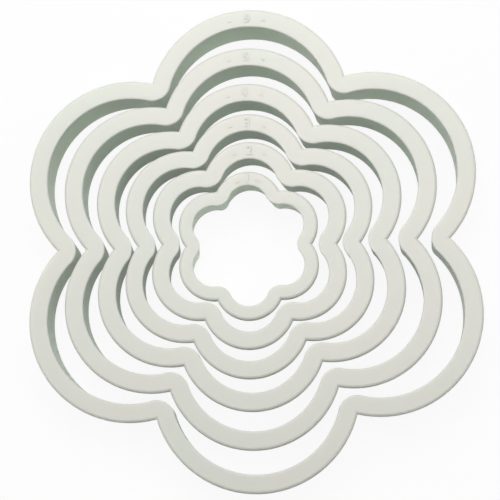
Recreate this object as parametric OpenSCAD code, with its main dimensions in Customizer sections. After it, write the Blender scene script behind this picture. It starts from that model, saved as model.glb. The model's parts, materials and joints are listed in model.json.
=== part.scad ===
// A nest of flower cutters for rolled icing and pastry, lying rims up.
// Each cutter is one plastic moulding: a flat rim to press on and a thin blade below it.
// The blade follows the petals at the same distance inside the rim's outline all the way round.
// The cutters stand on their cutting edges at z = 0, and the largest is centred on the origin.

/* [Flower] */
// Number of petals
petals = 6; // [5:1:8]
// Centre to petal tip on the smallest rim
smallest_tip = 17.8; // [16.5:0.1:20]
// Centre to the notch between two petals on the smallest rim
smallest_notch = 15; // [14.6:0.1:15.6]

/* [Rim] */
// Width of the smallest cutter's rim
rim_w_small = 3.4; // [2.9:0.05:4]
// Width of the second and third cutters' rims
rim_w_middle = 4.25; // [3.6:0.05:5]
// Width of the three largest rims
rim_w_large = 4.45; // [3.6:0.05:5.5]
// Thickness of the rim
rim_t = 2; // [1.6:0.1:3]
// Rounding of the rim's outer top edge
rim_round = 0.9; // [0.3:0.05:1]
// Rounding of the rim's outer lower edge
rim_foot_round = 0.4; // [0.1:0.05:0.5]
// Rounding of the rim's inner top edge
mouth_round = 0.3; // [0.1:0.05:0.6]

/* [Blade] */
// Height from the cutting edge to the top of the rim
cutter_h = 13.5; // [10:0.5:20]
// Thickness of the blade at its cutting edge
edge_t = 0.5; // [0.3:0.05:0.8]
// How much wider the opening is at the cutting edge than at the rim, on each side
lean = 1.35; // [0.6:0.05:1.6]
// Fillet where the blade meets the underside of the rim
root_fillet = 0.6; // [0.2:0.05:1]

/* [Gaps at the petal tips] */
// Smallest cutter to the second
tip_gap_1 = 2.8; // [2:0.1:5]
// Second cutter to the third
tip_gap_2 = 2.6; // [2:0.1:5]
// Third cutter to the fourth
tip_gap_3 = 3.1; // [2:0.1:6]
// Fourth cutter to the fifth
tip_gap_4 = 4.4; // [2.5:0.1:7]
// Fifth cutter to the largest
tip_gap_5 = 5.3; // [3:0.1:8]

/* [Gaps beside the notches] */
// Smallest cutter's petals to the second's cusps
cusp_gap_1 = 0.85; // [0.5:0.05:1.6]
// Second cutter's petals to the third's cusps
cusp_gap_2 = 0.65; // [0.5:0.05:1.6]
// Third cutter's petals to the fourth's cusps
cusp_gap_3 = 0.7; // [0.5:0.05:1.6]
// Fourth cutter's petals to the fifth's cusps
cusp_gap_4 = 1.25; // [0.5:0.05:2]
// Fifth cutter's petals to the largest's cusps
cusp_gap_5 = 1.45; // [0.5:0.05:2.4]

/* [As laid] */
// How the smallest cutter lies in the second: right, up and turned, as shares of the cusp gap
smallest_lay = [-0.19, -0.26, 0.35]; // [-0.6:0.01:0.6]
// How the second cutter lies in the third
second_lay = [0.15, 0, -0.48]; // [-0.6:0.01:0.6]
// How the third cutter lies in the fourth
third_lay = [-0.25, 0, -0.68]; // [-0.8:0.01:0.8]
// How the fourth cutter lies in the fifth
fourth_lay = [-0.2, 0, 0.14]; // [-0.6:0.01:0.6]
// How the fifth cutter lies in the largest
fifth_lay = [-0.28, 0.04, 0]; // [-0.6:0.01:0.6]

/* [Hidden] */
$fn = 120;
plastic = [0.87, 0.89, 0.84];
// A rounding starts this share of its radius from the faces that it joins, so that it meets them cleanly
soft = 0.985;
// How far the wall of a cusp reaches into the petals' walls beside it
overlap = 0.04;
// How far a cut runs past the face that it opens
past = 1;

// Lists run from the smallest cutter to the largest, and a gap lies outside the cutter of its number
rim_w = [rim_w_small, rim_w_middle, rim_w_middle, rim_w_large, rim_w_large, rim_w_large];
tip_gap = [tip_gap_1, tip_gap_2, tip_gap_3, tip_gap_4, tip_gap_5];
cusp_gap = [cusp_gap_1, cusp_gap_2, cusp_gap_3, cusp_gap_4, cusp_gap_5];
lay = [smallest_lay, second_lay, third_lay, fourth_lay, fifth_lay];
largest = len(rim_w) - 1;

// Half the angle from one petal to the next
half_step = 180 / petals;

// Centre to petal tip, and centre to notch, along the outline of cutter i's rim
function tip(i) = i == 0 ? smallest_tip : tip(i - 1) + tip_gap[i - 1] + rim_w[i];
function notch(i) = i == 0 ? smallest_notch
    : cos(half_step) * ring(i - 1)
        + sqrt(pow(petal(i - 1) + cusp_gap[i - 1] + rim_w[i], 2) - pow(sin(half_step) * ring(i - 1), 2));

// The petals are arcs of radius petal(i), centred ring(i) from the middle, that meet at the notches
function ring(i) = (pow(tip(i), 2) - pow(notch(i), 2)) / (2 * (tip(i) - notch(i) * cos(half_step)));
function petal(i) = tip(i) - ring(i);

// Where cutter i lies: its shift and its turn, added up from the largest cutter inwards
function shift(i) = i == largest ? [0, 0] : shift(i + 1) + cusp_gap[i] * [lay[i][0], lay[i][1]];
function turn(i) = i == largest ? 0 : turn(i + 1) + lay[i][2] * atan(cusp_gap[i] / notch(i));

// The blade's outer face lies this far in from the rim's outline on cutter i
function ledge(i) = rim_w[i] - lean - edge_t;

// The direction of petal k, or of the notch after it where k is a half
function towards(k) = [cos(2 * k * half_step), sin(2 * k * half_step)];

// Places the children at each petal's arc centre, or at each notch
module at_petals(i) {
    for (k = [0 : petals - 1]) translate(ring(i) * towards(k)) children();
}
module at_notches(i) {
    for (k = [0 : petals - 1]) translate(notch(i) * towards(k + 0.5)) children();
}

// A body with leaning petals and round cusps, its wall low_in inside the rim's outline at the height low
// and high_in at the height high, where it flares outwards by a rounding
module blossom(i, low_in, high_in, low, high, rounding) {
    rise = high - low;
    run = high_in - low_in;
    step = soft * rounding;
    bend = high - step;
    bend_in = high_in - run * step / rise;
    centre_in = high_in - step * (sqrt(pow(rise, 2) + pow(run, 2)) + run) / rise;
    top = high + past;
    difference() {
        union() {
            at_petals(i) rotate_extrude() difference() {
                polygon([
                    [0, low], [petal(i) - low_in, low], [petal(i) - bend_in, bend],
                    [petal(i) - centre_in, bend], [petal(i) - centre_in, top], [0, top]
                ]);
                translate([petal(i) - centre_in, bend]) circle(rounding);
            }
            translate([0, 0, low]) linear_extrude(top - low) polygon([
                for (k = [0 : petals - 1], point = [ring(i) * towards(k), notch(i) * towards(k + 0.5)]) point
            ]);
        }
        at_notches(i) rotate_extrude() {
            polygon([
                [0, low - past], [low_in + overlap, low - past], [low_in + overlap, low],
                [bend_in + overlap, bend], [centre_in + overlap, bend], [centre_in + overlap, top + past],
                [0, top + past]
            ]);
            translate([centre_in + overlap, bend]) circle(rounding);
        }
    }
}

// The rim as a plate: a rounded disc round each petal's centre, and one to fill the middle
module plate(i) {
    bottom = cutter_h - rim_t;
    at_petals(i) rotate_extrude() intersection() {
        translate([0, bottom]) square([petal(i), rim_t]);
        union() {
            translate([0, bottom]) square([petal(i) - rim_round, rim_t]);
            translate([0, bottom]) square([petal(i) - rim_foot_round, rim_t - rim_round]);
            translate([0, bottom + rim_foot_round])
                square([petal(i), rim_t - rim_round - rim_foot_round]);
            translate([petal(i) - rim_round, cutter_h - rim_round]) circle(rim_round / soft);
            translate([petal(i) - rim_foot_round, bottom + rim_foot_round]) circle(rim_foot_round / soft);
        }
    }
    translate([0, 0, bottom]) cylinder(h = rim_t, r = ring(i));
}

// A whole cutter, laid where it lies in the nest
module cutter(i) {
    slope = lean / cutter_h;
    translate(concat(shift(i), 0)) rotate(turn(i) + 90) difference() {
        union() {
            plate(i);
            blossom(i, ledge(i), ledge(i), 0, cutter_h - rim_t, root_fillet);
        }
        blossom(i, rim_w[i] - lean - slope * past, rim_w[i], -past, cutter_h, mouth_round);
    }
}

module largest_cutter() { color(plastic) cutter(5); }
module fifth_cutter() { color(plastic) cutter(4); }
module fourth_cutter() { color(plastic) cutter(3); }
module third_cutter() { color(plastic) cutter(2); }
module second_cutter() { color(plastic) cutter(1); }
module smallest_cutter() { color(plastic) cutter(0); }

largest_cutter();
fifth_cutter();
fourth_cutter();
third_cutter();
second_cutter();
smallest_cutter();
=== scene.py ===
# The looks of a nest of flower cutters: pale moulded plastic, a plain number on each rim,
# a pale floor and soft light from above and behind. Everything is in metres.
import json
import math

import bpy
from mathutils import Matrix, Vector

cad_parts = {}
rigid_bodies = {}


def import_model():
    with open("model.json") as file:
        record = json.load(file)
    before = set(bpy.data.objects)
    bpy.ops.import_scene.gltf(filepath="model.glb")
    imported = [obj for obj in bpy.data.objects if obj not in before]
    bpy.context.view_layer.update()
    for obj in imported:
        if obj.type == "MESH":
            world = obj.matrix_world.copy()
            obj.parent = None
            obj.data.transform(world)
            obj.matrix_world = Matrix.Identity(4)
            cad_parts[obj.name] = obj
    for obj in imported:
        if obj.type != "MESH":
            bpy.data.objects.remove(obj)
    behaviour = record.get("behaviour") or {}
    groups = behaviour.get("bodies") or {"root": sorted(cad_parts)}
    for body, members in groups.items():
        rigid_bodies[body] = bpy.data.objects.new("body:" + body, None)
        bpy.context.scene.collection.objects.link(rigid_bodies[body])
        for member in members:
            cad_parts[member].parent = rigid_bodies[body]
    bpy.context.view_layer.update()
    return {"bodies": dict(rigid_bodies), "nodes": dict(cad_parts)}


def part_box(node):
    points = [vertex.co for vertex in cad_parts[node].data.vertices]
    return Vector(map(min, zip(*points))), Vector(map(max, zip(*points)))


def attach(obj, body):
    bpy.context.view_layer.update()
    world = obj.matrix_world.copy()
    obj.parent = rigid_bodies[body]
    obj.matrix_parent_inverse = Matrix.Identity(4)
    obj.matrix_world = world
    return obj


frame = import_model()

MM = 0.001

# The cutters from the smallest to the largest, so that a cutter's place here is its number in the set
CUTTERS = ["smallest", "second", "third", "fourth", "fifth", "largest"]
# How far each lies turned in the nest, in degrees
TURN = {"smallest": -0.45, "second": -1.58, "third": -0.72, "fourth": 0.31, "fifth": 0.0, "largest": 0.0}
# How much painted shade each blade's colour carries, from 0 to 1: most where blades stand close on both
# sides, for the shade of the narrow gaps between nested cutters
GAP_SHADE = {"smallest": 0.25, "second": 0.95, "third": 1.0, "fourth": 0.8, "fifth": 0.4, "largest": 0.0}
# Half the angle between two petals
HALF_STEP = math.radians(30)
# Width of each cutter's rim
RIM_W = {
    "smallest": 3.4 * MM,
    "second": 4.25 * MM,
    "third": 4.25 * MM,
    "fourth": 4.45 * MM,
    "fifth": 4.45 * MM,
    "largest": 4.45 * MM,
}

# The rim's two colours, which mix in soft blotches, the palest blade in the plastic's own greener tone, and
# the blade at its darkest with painted shade of the narrow gaps between nested cutters
COOL_RIM = (0.785, 0.80, 0.735, 1)
WARM_RIM = (0.80, 0.795, 0.735, 1)
PALE_BLADE = (0.705, 0.79, 0.67, 1)
GAP_SHADED_BLADE = (0.53, 0.70, 0.495, 1)
# The blade's colour starts at the rim's mouth on the inside and under the rim on the outside,
# and comes in over a short depth
INSIDE_START = 13.3 * MM
OUTSIDE_START = 11.6 * MM
BLADE_FADE = 0.5 * MM
# How far from upright a face may lean before it counts as wholly inside or outside, as a cosine
FACING = 0.15
# How rough the rim is, at least and at most, and how much smoother the blade is
RIM_SMOOTH = 0.42
RIM_ROUGH = 0.52
BLADE_GLOSS = 0.27
# Lumps per metre in the blotches, in the slow sway of the surface, in its gloss and in its fine skin
BLOTCH_LUMPS = 45
SWAY_LUMPS = 260
GLOSS_LUMPS = 700
SKIN_LUMPS = 9000

# The numbers on the rims: their height, and how far across the rim's width they stand
FIGURE_H = 2.2 * MM
ACROSS_RIM = 0.53
# The bars beside a number lie this far along the petal, but at most this share of its radius
BAR_REACH = 4.2 * MM
BAR_SHARE = 0.3
# The font's size for a figure one unit tall
FONT_SIZE = 1.38
# Half a figure's thickness inside its rounded edges, the rounding, and how deep its middle is sunk
FIGURE_HALF_T = 0.09 * MM
FIGURE_ROUND = 0.06 * MM
FIGURE_SUNK = 0.02 * MM

# The camera: where it stands, what it looks at and how it is rolled
CAMERA_AT = Vector((13.78, -38.97, 274.0)) * MM
LOOKS_AT = Vector((-0.52, -1.346, 13.5)) * MM
CAMERA_ROLL = 0.0252
SENSOR = 36.0
LENS = 80.5

# How bright the backdrop looks, and how much the room around lights the cutters
BACKDROP = 0.92
ROOM = 0.05
# The floor's half width, how pale it is to the light, and how much of that the camera sees as shade
FLOOR_HALF = 2.0
FLOOR_PALE = 0.88
FLOOR_SHADE = 0.075
# A reflection sees this share of the bright backdrop, and otherwise the real shade in narrow gaps
REFLECTED = 0.35
# What the lamps are aimed at
AIM = Vector((0, 0, 10)) * MM
# Each lamp's name, azimuth and elevation in degrees, distance, size and power in watts
LAMPS = [
    ("key", 95, 66, 0.34, 0.28, 0.76),
    ("right_fill", 0, 55, 0.45, 0.25, 0.42),
    ("left_fill", 180, 30, 0.45, 0.3, 0.43),
    ("back_fill", 90, 25, 0.45, 0.3, 0.1),
]


def clear_startup():
    """Removes what Blender opens with, and leaves the frame."""
    kept = set(frame["bodies"].values()) | set(frame["nodes"].values())
    for obj in list(bpy.context.scene.objects):
        if obj not in kept:
            bpy.data.objects.remove(obj, do_unlink=True)


# Materials


def new_material(name):
    """An empty node material, with its node tree."""
    material = bpy.data.materials.new(name)
    material.use_nodes = True
    material.node_tree.nodes.clear()
    return material, material.node_tree


def grey(level):
    """A grey as a colour."""
    return (level, level, level, 1)


def add_node(tree, kind, links=None, **settings):
    """A node with its settings; links maps its inputs, by name or number, to sockets or plain values."""
    made = tree.nodes.new(kind)
    for name, value in settings.items():
        setattr(made, name, value)
    for name, source in (links or {}).items():
        if isinstance(source, bpy.types.NodeSocket):
            tree.links.new(source, made.inputs[name])
        else:
            made.inputs[name].default_value = source
    return made


def mixed(tree, factor, first, second):
    """Two colours mixed by a factor."""
    made = add_node(tree, "ShaderNodeMix", data_type="RGBA", clamp_factor=True)
    for socket, source in (("Factor_Float", factor), ("A_Color", first), ("B_Color", second)):
        target = next(i for i in made.inputs if i.identifier == socket)
        if isinstance(source, bpy.types.NodeSocket):
            tree.links.new(source, target)
        else:
            target.default_value = source
    return next(o for o in made.outputs if o.identifier == "Result_Color")


def ranged(tree, value, low, high, to_low=0, to_high=1):
    """A value taken from the range low to high into another range, and held inside it."""
    links = {"Value": value, "From Min": low, "From Max": high, "To Min": to_low, "To Max": to_high}
    return add_node(tree, "ShaderNodeMapRange", links).outputs["Result"]


def noise(tree, place, scale, detail):
    """Noise with the given number of lumps per metre."""
    links = {"Vector": place, "Scale": scale, "Detail": detail, "Roughness": 0.5}
    return add_node(tree, "ShaderNodeTexNoise", links).outputs["Fac"]


def blade_share(tree, place):
    """0 on the rim and 1 on the blade below it, which starts higher on the inside than on the outside."""
    height = add_node(tree, "ShaderNodeSeparateXYZ", {"Vector": place}).outputs["Z"]
    across = add_node(tree, "ShaderNodeVectorMath", {0: place, 1: (1, 1, 0)}, operation="MULTIPLY").outputs[0]
    outwards = add_node(tree, "ShaderNodeVectorMath", {0: across}, operation="NORMALIZE").outputs[0]
    facing = add_node(tree, "ShaderNodeTexCoord").outputs["Normal"]
    outside = add_node(
        tree, "ShaderNodeVectorMath", {0: facing, 1: outwards}, operation="DOT_PRODUCT"
    ).outputs["Value"]
    start = ranged(tree, outside, -FACING, FACING, INSIDE_START, OUTSIDE_START)
    depth = add_node(tree, "ShaderNodeMath", {0: start, 1: height}, operation="SUBTRACT").outputs[0]
    return ranged(tree, depth, 0, BLADE_FADE)


def moulded_plastic(name, milky, depth):
    """Pale plastic that light enters by the share milky. The blade is glossier than the rim, and its colour
    is darkened by the share depth, which is painted shade of the narrow gaps between nested cutters; all of
    it has soft blotches and a fine moulded skin."""
    material, tree = new_material(name)
    place = add_node(tree, "ShaderNodeTexCoord").outputs["Object"]
    blade = blade_share(tree, place)

    # Painted shade: the blade's colour darkens by the share depth, for the narrow gaps between nested cutters
    blade_with_gap_shade = tuple(low + depth * (high - low) for low, high in zip(PALE_BLADE, GAP_SHADED_BLADE))
    blotches = ranged(tree, noise(tree, place, BLOTCH_LUMPS, 1), 0.35, 0.65)
    rim = mixed(tree, blotches, COOL_RIM, WARM_RIM)
    colour = mixed(tree, blade, rim, blade_with_gap_shade)

    sway = noise(tree, place, SWAY_LUMPS, 1)
    relief = add_node(tree, "ShaderNodeBump", {"Height": sway, "Strength": 0.12, "Distance": 0.2 * MM})
    skin = noise(tree, place, SKIN_LUMPS, 2)
    grain = add_node(
        tree,
        "ShaderNodeBump",
        {"Height": skin, "Strength": 0.15, "Distance": 0.02 * MM, "Normal": relief.outputs["Normal"]},
    )
    satin = ranged(tree, noise(tree, place, GLOSS_LUMPS, 3), 0, 1, RIM_SMOOTH, RIM_ROUGH)
    rough = add_node(tree, "ShaderNodeMath", {0: blade, 1: -BLADE_GLOSS, 2: satin}, operation="MULTIPLY_ADD")
    surface = add_node(
        tree,
        "ShaderNodeBsdfPrincipled",
        {
            "Base Color": colour,
            "Roughness": rough.outputs[0],
            "Normal": grain.outputs["Normal"],
            "IOR": 1.49,
            "Specular IOR Level": 0.5,
            "Subsurface Weight": milky,
            "Subsurface Radius": (1.0, 1.1, 0.95),
            "Subsurface Scale": 1.1 * MM,
        },
    )
    add_node(tree, "ShaderNodeOutputMaterial", {"Surface": surface.outputs["BSDF"]})
    return material


def sees_backdrop(tree, glossy):
    """1 for what the camera sees, straight or through something, and the share glossy for a reflection."""
    rays = add_node(tree, "ShaderNodeLightPath").outputs
    straight = add_node(
        tree,
        "ShaderNodeMath",
        {0: rays["Is Glossy Ray"], 1: glossy, 2: rays["Is Camera Ray"]},
        operation="MULTIPLY_ADD",
    )
    return add_node(
        tree,
        "ShaderNodeMath",
        {0: straight.outputs[0], 1: rays["Is Transmission Ray"]},
        operation="ADD",
        use_clamp=True,
    ).outputs[0]


def pale_floor():
    """A pale floor that the camera sees as nearly white, with a faint shadow of the cutters."""
    material, tree = new_material("pale_floor")
    plain = add_node(tree, "ShaderNodeBsdfDiffuse", {"Color": grey(FLOOR_PALE)})
    shaded = add_node(tree, "ShaderNodeBsdfDiffuse", {"Color": grey(FLOOR_SHADE)})
    white = add_node(tree, "ShaderNodeEmission", {"Color": grey(1), "Strength": BACKDROP})
    both = add_node(tree, "ShaderNodeAddShader", {0: shaded.outputs[0], 1: white.outputs[0]})
    seen = sees_backdrop(tree, REFLECTED)
    shader = add_node(tree, "ShaderNodeMixShader", {0: seen, 1: plain.outputs[0], 2: both.outputs[0]})
    add_node(tree, "ShaderNodeOutputMaterial", {"Surface": shader.outputs[0]})
    return material


# Pieces


def petal_arc(cutter):
    """A cutter's middle, and the top petal's arc on its rim: how far off its centre is, and its radius."""
    low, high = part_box(cutter + "_cutter")
    middle = (low + high) / 2
    reach = (high - low) / 2
    ring = (reach.y - reach.x) / (1 - math.cos(HALF_STEP))
    return middle, ring, reach.y - ring


def flat_glyph(text):
    """A plain character as a thin raised piece, centred on its own origin."""
    curve = bpy.data.curves.new("glyph", "FONT")
    curve.body = text
    curve.size = FIGURE_H * FONT_SIZE
    curve.align_x = "CENTER"
    curve.align_y = "CENTER"
    curve.extrude = FIGURE_HALF_T
    curve.bevel_depth = FIGURE_ROUND
    curve.bevel_resolution = 2
    curve.resolution_u = 6
    obj = bpy.data.objects.new("glyph", curve)
    bpy.context.scene.collection.objects.link(obj)
    return obj


def set_number(cutter, number, material):
    """The cutter's number in the set, between two short bars, raised on the top petal of its rim."""
    middle, ring, petal = petal_arc(cutter)
    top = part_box(cutter + "_cutter")[1].z
    radius = petal - RIM_W[cutter] * ACROSS_RIM
    reach = min(BAR_REACH, petal * BAR_SHARE)
    centre = Matrix.Translation(Vector((middle.x, middle.y, top - FIGURE_SUNK)))
    turn = Matrix.Rotation(math.radians(TURN[cutter]), 4, "Z")
    glyphs = []
    for text, along in (("-", -reach), (str(number), 0), ("-", reach)):
        angle = along / radius
        spot = Vector((radius * math.sin(angle), ring + radius * math.cos(angle), 0))
        obj = flat_glyph(text)
        obj.matrix_world = centre @ turn @ Matrix.Translation(spot) @ Matrix.Rotation(-angle, 4, "Z")
        glyphs.append(obj)
    bpy.ops.object.select_all(action="DESELECT")
    for obj in glyphs:
        obj.select_set(True)
    bpy.context.view_layer.objects.active = glyphs[0]
    bpy.ops.object.convert(target="MESH")
    bpy.ops.object.join()
    mark = bpy.context.view_layer.objects.active
    mark.data.transform(mark.matrix_world)
    mark.matrix_world = Matrix()
    mark.name = cutter + "_number"
    mark.data.materials.clear()
    mark.data.materials.append(material)
    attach(mark, cutter + "_body")


def dress(cutter):
    """A cutter's own solid in its plastic."""
    # The blade gets its share of painted shade from the narrow gaps around this cutter
    material = moulded_plastic(cutter + "_plastic", 1.0, GAP_SHADE[cutter])
    for slot in frame["nodes"][cutter + "_cutter"].material_slots:
        slot.material = material


# Stage


def add_floor():
    """A wide flat floor under the cutters."""
    mesh = bpy.data.meshes.new("floor")
    corners = [(x * FLOOR_HALF, y * FLOOR_HALF, 0) for x, y in ((-1, -1), (1, -1), (1, 1), (-1, 1))]
    mesh.from_pydata(corners, [], [(0, 1, 2, 3)])
    floor = bpy.data.objects.new("floor", mesh)
    bpy.context.scene.collection.objects.link(floor)
    floor.data.materials.append(pale_floor())


def add_softbox(name, azimuth, elevation, distance, size, power):
    """A round soft lamp aimed at the cutters; azimuth 0 is on the +X side and 90 on the +Y side."""
    lamp = bpy.data.lights.new(name, "AREA")
    lamp.shape = "DISK"
    lamp.size = size
    lamp.energy = power
    obj = bpy.data.objects.new(name, lamp)
    bpy.context.scene.collection.objects.link(obj)
    across = distance * math.cos(math.radians(elevation))
    turn = math.radians(azimuth)
    height = distance * math.sin(math.radians(elevation))
    obj.location = (across * math.cos(turn), across * math.sin(turn), height)
    obj.rotation_euler = (AIM - obj.location).to_track_quat("-Z", "Y").to_euler()


def add_light():
    """The lamps and a faintly lit room, which the camera sees as the backdrop."""
    world = bpy.data.worlds.new("soft_room")
    bpy.context.scene.world = world
    world.use_nodes = True
    tree = world.node_tree
    tree.nodes.clear()
    strength = ranged(tree, sees_backdrop(tree, 1), 0, 1, ROOM, BACKDROP)
    sky = add_node(tree, "ShaderNodeBackground", {"Color": grey(1), "Strength": strength})
    add_node(tree, "ShaderNodeOutputWorld", {"Surface": sky.outputs[0]})
    for lamp in LAMPS:
        add_softbox(*lamp)


def add_camera():
    """The camera, rolled about its line of sight."""
    camera = bpy.data.cameras.new("camera")
    camera.sensor_width = SENSOR
    camera.lens = LENS
    camera.clip_start = 0.01
    camera.clip_end = 10
    obj = bpy.data.objects.new("camera", camera)
    bpy.context.scene.collection.objects.link(obj)
    forward = (LOOKS_AT - CAMERA_AT).normalized()
    right = forward.cross(Vector((0, 1, 0))).normalized()
    down = forward.cross(right)
    across = math.cos(CAMERA_ROLL) * right + math.sin(CAMERA_ROLL) * down
    along = math.cos(CAMERA_ROLL) * down - math.sin(CAMERA_ROLL) * right
    axes = Matrix((across, -along, -forward)).transposed().to_4x4()
    obj.matrix_world = Matrix.Translation(CAMERA_AT) @ axes
    bpy.context.scene.camera = obj


clear_startup()
raised_plastic = moulded_plastic("raised_plastic", 0.0, 0.0)
for place, cutter in enumerate(CUTTERS):
    dress(cutter)
    set_number(cutter, place + 1, raised_plastic)
add_floor()
add_light()
add_camera()
bpy.context.scene.view_settings.view_transform = "Standard"
